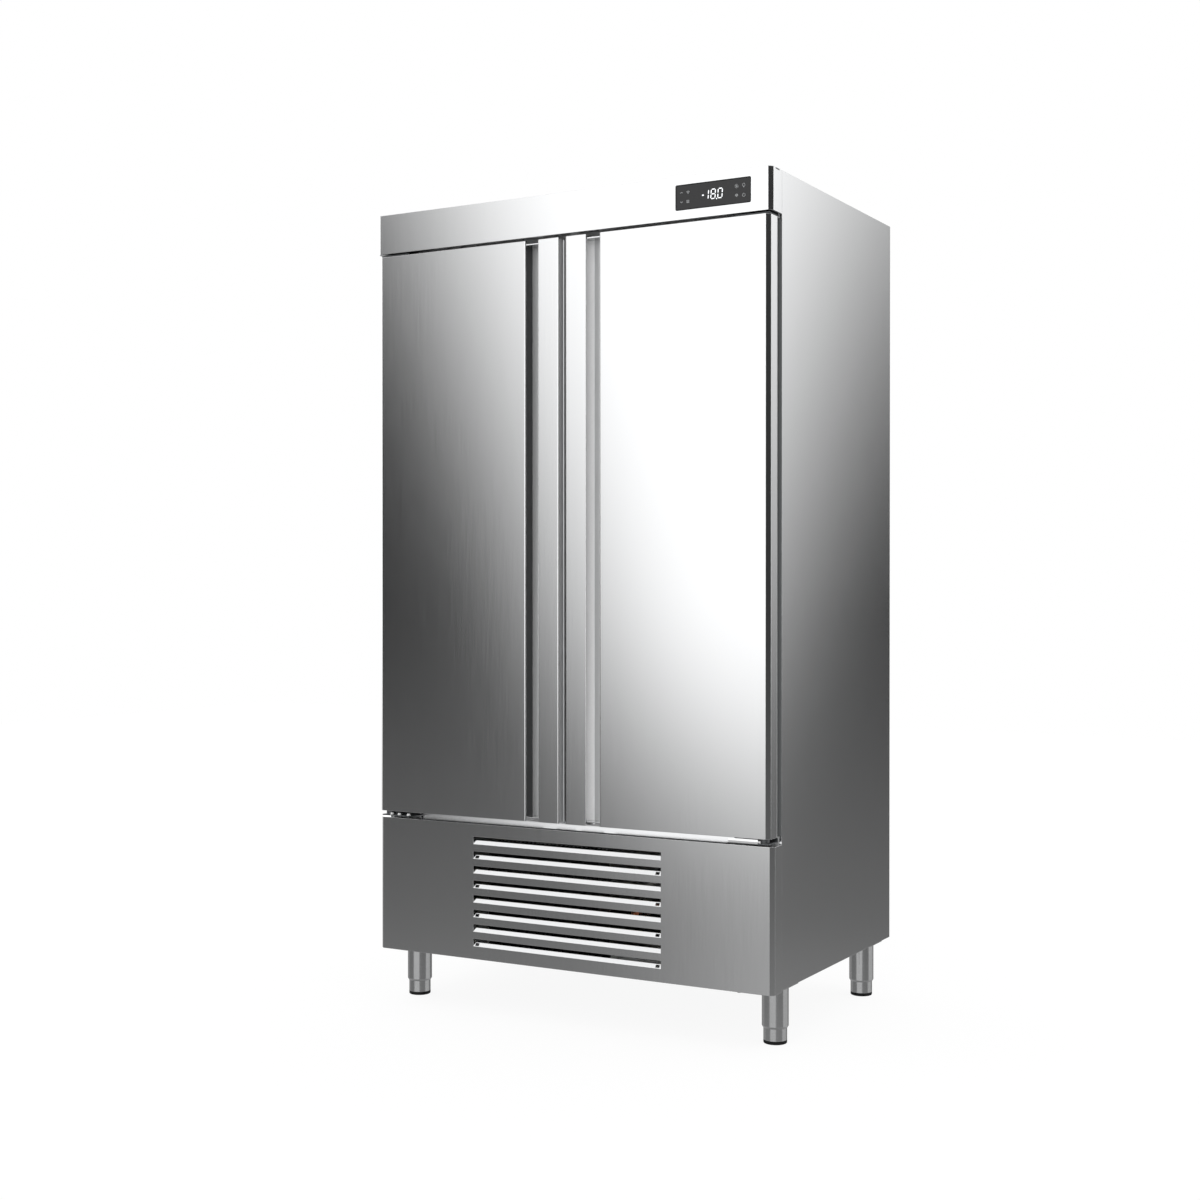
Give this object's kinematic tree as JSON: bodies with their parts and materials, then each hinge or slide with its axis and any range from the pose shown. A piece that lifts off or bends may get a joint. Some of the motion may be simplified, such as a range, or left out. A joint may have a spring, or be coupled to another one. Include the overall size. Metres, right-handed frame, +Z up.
{
  "type": "upright freezer",
  "caption": "Tall sheet-steel freezer cabinet on legs: twin hinged doors with vertical grip channels, header with touch display, louvred lower panel over the cooling unit.",
  "frame": {"origin": "on the floor, under the middle of the overall width and depth", "axes": "+Z up; the doors face -Y; +X is to the right of someone facing the doors"},
  "size_m": [1.158, 0.806, 2.117],
  "materials": {
    "stainless_brushed": "vertically brushed stainless sheet",
    "galvanised": "galvanised sheet, spangled",
    "liner_steel": "fine satin stainless liner",
    "foam": "rigid polyurethane foam",
    "abs_white": "vacuum-formed white plastic",
    "seal_rubber": "soft magnetic seal profile",
    "glass_black": "dark tinted touch glass",
    "board_green": "controller housing and board",
    "zinc": "bright zinc plate",
    "steel_pressed": "dark pressed steel",
    "compressor_black": "gloss black enamel",
    "rubber_black": "matt black rubber",
    "coil_aluminium": "thin aluminium fins",
    "coil_painted": "black dipped fins and tubes",
    "fan_plastic": "moulded fan plastic",
    "fan_plastic_pale": "pale moulded fan plastic",
    "copper": "drawn copper tube",
    "tray_plastic": "moulded tray plastic",
    "tube_plastic": "grey flexible tube",
    "shelf_coated": "pale epoxy-coated wire",
    "bush_nylon": "nylon",
    "satin_steel": "bead-blasted stainless, even and matt",
    "leg_steel": "round-brushed stainless tube"
  },
  "bodies": {
    "cabinet": {"side_panel_left": "stainless_brushed", "side_panel_right": "stainless_brushed", "top_panel": "galvanised", "back_panel": "galvanised", "insulation_slabs": "foam", "inner_liner": "liner_steel", "front_frame": "satin_steel", "center_mullion": "satin_steel", "header_fascia": "stainless_brushed", "control_glass": "glass_black", "control_board": "board_green", "lower_panel": "stainless_brushed", "cabinet_screws": "zinc", "base_frame": "galvanised", "base_tray": "galvanised", "compressor": "compressor_black", "compressor_mounts": "rubber_black", "terminal_box": "tray_plastic", "condenser_coil": "coil_painted", "condenser_shroud": "galvanised", "fan_motors": "steel_pressed", "refrigerant_pipes": "copper", "evaporator_coil": "coil_aluminium", "evaporator_cover": "abs_white", "condensate_tray": "tray_plastic", "drain_tube": "tube_plastic", "shelf_posts": "liner_steel", "shelf_clips": "zinc", "shelf_left_1": "shelf_coated", "shelf_left_2": "shelf_coated", "shelf_left_3": "shelf_coated", "shelf_right_1": "shelf_coated", "shelf_right_2": "shelf_coated", "shelf_right_3": "shelf_coated", "power_inlet": "tray_plastic", "hinge_brackets": "steel_pressed", "leg_sleeves": "leg_steel"},
    "door_left": {"door_skin_left": "stainless_brushed", "door_foam_left": "foam", "door_inner_left": "abs_white", "door_seal_left": "seal_rubber", "grip_caps_left": "stainless_brushed", "hinge_bushes_left": "bush_nylon"},
    "evaporator_rotor_left": {"evaporator_fan_left": "fan_plastic_pale"},
    "door_right": {"door_skin_right": "stainless_brushed", "door_foam_right": "foam", "door_inner_right": "abs_white", "door_seal_right": "seal_rubber", "grip_caps_right": "stainless_brushed", "hinge_bushes_right": "bush_nylon"},
    "evaporator_rotor_right": {"evaporator_fan_right": "fan_plastic_pale"},
    "condenser_rotor": {"condenser_fan": "fan_plastic"},
    "levelling_foot_front_left": {"foot_front_left": "leg_steel", "pad_front_left": "rubber_black"},
    "levelling_foot_front_right": {"foot_front_right": "leg_steel", "pad_front_right": "rubber_black"},
    "levelling_foot_rear_left": {"foot_rear_left": "leg_steel", "pad_rear_left": "rubber_black"},
    "levelling_foot_rear_right": {"foot_rear_right": "leg_steel", "pad_rear_right": "rubber_black"}
  },
  "joints": [
    {"name": "left_door_hinge", "type": "hinge", "parent": "cabinet", "child": "door_left", "pos_m": [-0.551, -0.38, 0.516], "axis": [0, 0, -1], "range_deg": [0, 110]},
    {"name": "right_door_hinge", "type": "hinge", "parent": "cabinet", "child": "door_right", "pos_m": [0.551, -0.38, 0.516], "axis": [0, 0, 1], "range_deg": [0, 110]},
    {"name": "condenser_fan_shaft", "type": "hinge", "parent": "cabinet", "child": "condenser_rotor", "pos_m": [-0.13, -0.2, 0.2822], "axis": [0, -1, 0], "continuous": true},
    {"name": "evaporator_fan_shaft_left", "type": "hinge", "parent": "cabinet", "child": "evaporator_rotor_left", "pos_m": [-0.215, 0.017, 1.966], "axis": [0, -1, 0], "continuous": true},
    {"name": "evaporator_fan_shaft_right", "type": "hinge", "parent": "cabinet", "child": "evaporator_rotor_right", "pos_m": [0.215, 0.017, 1.966], "axis": [0, -1, 0], "continuous": true},
    {"name": "foot_thread_front_left", "type": "slide", "parent": "cabinet", "child": "levelling_foot_front_left", "axis": [0, 0, -1], "range_m": [0, 0.04]},
    {"name": "foot_thread_front_right", "type": "slide", "parent": "cabinet", "child": "levelling_foot_front_right", "axis": [0, 0, -1], "range_m": [0, 0.04]},
    {"name": "foot_thread_rear_left", "type": "slide", "parent": "cabinet", "child": "levelling_foot_rear_left", "axis": [0, 0, -1], "range_m": [0, 0.04]},
    {"name": "foot_thread_rear_right", "type": "slide", "parent": "cabinet", "child": "levelling_foot_rear_right", "axis": [0, 0, -1], "range_m": [0, 0.04]}
  ]
}
